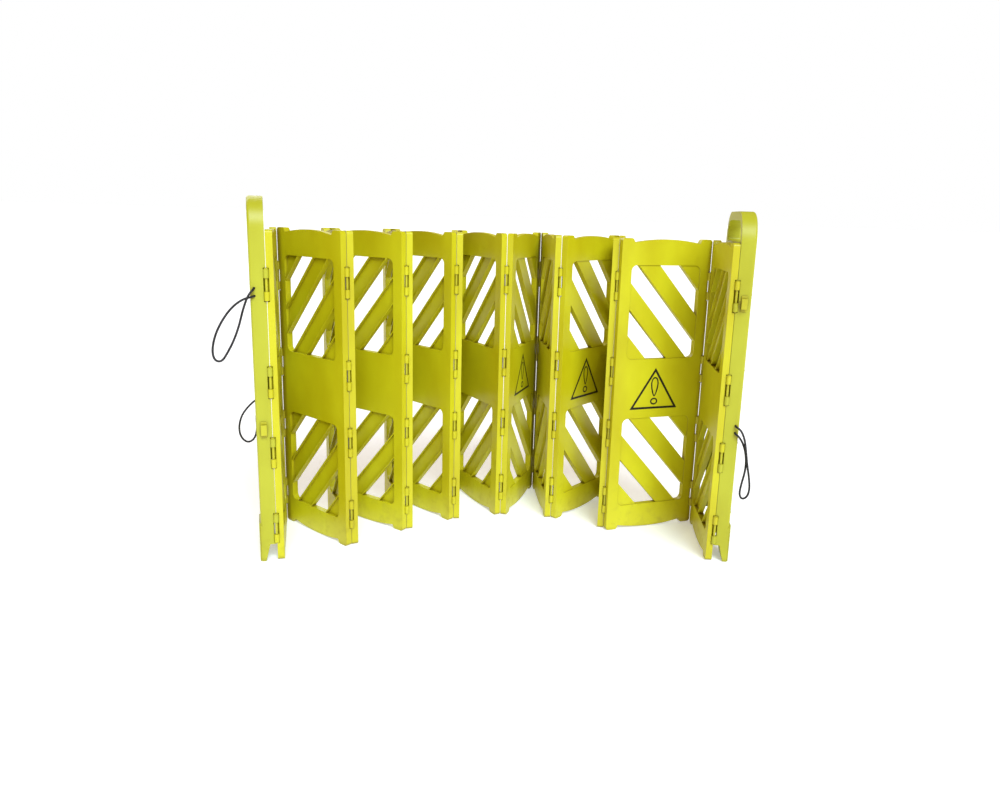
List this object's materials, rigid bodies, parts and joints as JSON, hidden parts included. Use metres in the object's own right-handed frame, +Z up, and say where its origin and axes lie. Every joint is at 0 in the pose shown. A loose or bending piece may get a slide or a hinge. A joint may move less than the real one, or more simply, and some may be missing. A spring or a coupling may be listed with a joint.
{
  "type": "crowd control barrier",
  "caption": "Folding accordion barrier of hinged slatted plastic leaves between two end covers with carry handles, elastic closing loops and cord hooks.",
  "frame": {"origin": "middle of the footprint on the floor, in the standing pose", "axes": "+Z up, X along the row of leaves, -Y towards the side that shows the warning marks"},
  "size_m": [1.6018, 0.7549, 1.016],
  "materials": {
    "leaf_plastic": "semi-gloss moulded plastic, lime yellow",
    "cover_plastic": "semi-gloss moulded plastic, lime yellow",
    "pin_plastic": "smooth moulded plastic, lime yellow",
    "hook_plastic": "smooth moulded plastic, lime yellow",
    "elastic_cord": "braided black sheath over rubber",
    "ferrule_metal": "crimped dull metal",
    "sign_ink": null
  },
  "bodies": {
    "end_cover_left": {"end_cover_left": "cover_plastic", "hinge_pins_01": "pin_plastic", "elastic_loop_left_near": "elastic_cord", "loop_ferrules_left_near": "ferrule_metal", "cord_hook_left_near": "hook_plastic", "elastic_loop_left_far": "elastic_cord", "loop_ferrules_left_far": "ferrule_metal", "cord_hook_left_far": "hook_plastic"},
    "leaf_01": {"leaf_01": "leaf_plastic", "hinge_pins_02": "pin_plastic"},
    "leaf_02": {"leaf_02": "leaf_plastic", "hinge_pins_03": "pin_plastic"},
    "leaf_03": {"leaf_03": "leaf_plastic", "hinge_pins_04": "pin_plastic"},
    "leaf_04": {"leaf_04": "leaf_plastic", "hinge_pins_05": "pin_plastic"},
    "leaf_05": {"leaf_05": "leaf_plastic", "hinge_pins_06": "pin_plastic"},
    "leaf_06": {"leaf_06": "leaf_plastic", "hinge_pins_07": "pin_plastic"},
    "leaf_07": {"leaf_07": "leaf_plastic", "hinge_pins_08": "pin_plastic"},
    "leaf_08": {"leaf_08": "leaf_plastic", "hinge_pins_09": "pin_plastic"},
    "leaf_09": {"leaf_09": "leaf_plastic", "hinge_pins_10": "pin_plastic"},
    "leaf_10": {"leaf_10": "leaf_plastic", "hinge_pins_11": "pin_plastic"},
    "leaf_11": {"leaf_11": "leaf_plastic", "hinge_pins_12": "pin_plastic"},
    "leaf_12": {"leaf_12": "leaf_plastic", "hinge_pins_13": "pin_plastic"},
    "leaf_13": {"leaf_13": "leaf_plastic", "hinge_pins_14": "pin_plastic"},
    "leaf_14": {"leaf_14": "leaf_plastic", "hinge_pins_15": "pin_plastic"},
    "end_cover_right": {"end_cover_right": "cover_plastic", "elastic_loop_right_near": "elastic_cord", "loop_ferrules_right_near": "ferrule_metal", "cord_hook_right_near": "hook_plastic", "elastic_loop_right_far": "elastic_cord", "loop_ferrules_right_far": "ferrule_metal", "cord_hook_right_far": "hook_plastic"}
  },
  "joints": [
    {"name": "left_cover_hinge", "type": "hinge", "parent": "leaf_01", "child": "end_cover_left", "pos_m": [-0.60395, -0.3396, 0], "axis": [0, 0, 1], "range_deg": [-3, 125]},
    {"name": "leaf_hinge_02", "type": "hinge", "parent": "leaf_02", "child": "leaf_01", "pos_m": [-0.66699, -0.03338, 0], "axis": [0, 0, -1], "range_deg": [-34.31, 56.62]},
    {"name": "leaf_hinge_03", "type": "hinge", "parent": "leaf_03", "child": "leaf_02", "pos_m": [-0.41643, -0.22037, 0], "axis": [0, 0, 1], "range_deg": [-22.61, 37.31]},
    {"name": "leaf_hinge_04", "type": "hinge", "parent": "leaf_04", "child": "leaf_03", "pos_m": [-0.54025, 0.06671, 0], "axis": [0, 0, -1], "range_deg": [-29.11, 48.03]},
    {"name": "leaf_hinge_05", "type": "hinge", "parent": "leaf_05", "child": "leaf_04", "pos_m": [-0.27013, -0.09071, 0], "axis": [0, 0, 1], "range_deg": [-33.31, 54.97]},
    {"name": "leaf_hinge_06", "type": "hinge", "parent": "leaf_06", "child": "leaf_05", "pos_m": [-0.3726, 0.20466, 0], "axis": [0, 0, -1], "range_deg": [-24.31, 40.12]},
    {"name": "leaf_hinge_07", "type": "hinge", "parent": "leaf_07", "child": "leaf_06", "pos_m": [-0.13043, 0.00693, 0], "axis": [0, 0, 1], "range_deg": [-38.81, 64.04]},
    {"name": "leaf_hinge_08", "type": "hinge", "parent": "leaf_08", "child": "leaf_07", "pos_m": [-0.15568, 0.31855, 0], "axis": [0, 0, -1], "range_deg": [-22.81, 37.64]},
    {"name": "leaf_fold", "type": "hinge", "parent": "leaf_08", "child": "leaf_09", "pos_m": [0.0226, 0.06172, 0], "axis": [0, 0, -1], "range_deg": [-48.2, 79.53]},
    {"name": "leaf_hinge_10", "type": "hinge", "parent": "leaf_09", "child": "leaf_10", "pos_m": [0.13346, 0.35405, 0], "axis": [0, 0, 1], "range_deg": [-24.21, 39.95]},
    {"name": "leaf_hinge_11", "type": "hinge", "parent": "leaf_10", "child": "leaf_11", "pos_m": [0.19187, 0.04691, 0], "axis": [0, 0, -1], "range_deg": [-44.81, 73.94]},
    {"name": "leaf_hinge_12", "type": "hinge", "parent": "leaf_11", "child": "leaf_12", "pos_m": [0.39849, 0.28154, 0], "axis": [0, 0, 1], "range_deg": [-27.21, 44.9]},
    {"name": "leaf_hinge_13", "type": "hinge", "parent": "leaf_12", "child": "leaf_13", "pos_m": [0.3613, -0.02888, 0], "axis": [0, 0, -1], "range_deg": [-59.31, 97.86]},
    {"name": "leaf_hinge_14", "type": "hinge", "parent": "leaf_13", "child": "leaf_14", "pos_m": [0.66101, 0.06009, 0], "axis": [0, 0, 1], "range_deg": [-66.61, 109.91]},
    {"name": "right_cover_hinge", "type": "hinge", "parent": "leaf_14", "child": "end_cover_right", "pos_m": [0.66356, -0.25254, 0], "axis": [0, 0, -1], "range_deg": [-4, 125]}
  ],
  "couplings": [
    {"joint": "leaf_hinge_02", "follows": "leaf_fold", "ratio": 0.71162},
    {"joint": "leaf_hinge_03", "follows": "leaf_fold", "ratio": 0.46888},
    {"joint": "leaf_hinge_04", "follows": "leaf_fold", "ratio": 0.60373},
    {"joint": "leaf_hinge_05", "follows": "leaf_fold", "ratio": 0.69087},
    {"joint": "leaf_hinge_06", "follows": "leaf_fold", "ratio": 0.50415},
    {"joint": "leaf_hinge_07", "follows": "leaf_fold", "ratio": 0.80498},
    {"joint": "leaf_hinge_08", "follows": "leaf_fold", "ratio": 0.47303},
    {"joint": "leaf_hinge_10", "follows": "leaf_fold", "ratio": 0.50207},
    {"joint": "leaf_hinge_11", "follows": "leaf_fold", "ratio": 0.92946},
    {"joint": "leaf_hinge_12", "follows": "leaf_fold", "ratio": 0.56432},
    {"joint": "leaf_hinge_13", "follows": "leaf_fold", "ratio": 1.2303},
    {"joint": "leaf_hinge_14", "follows": "leaf_fold", "ratio": 1.3817}
  ]
}
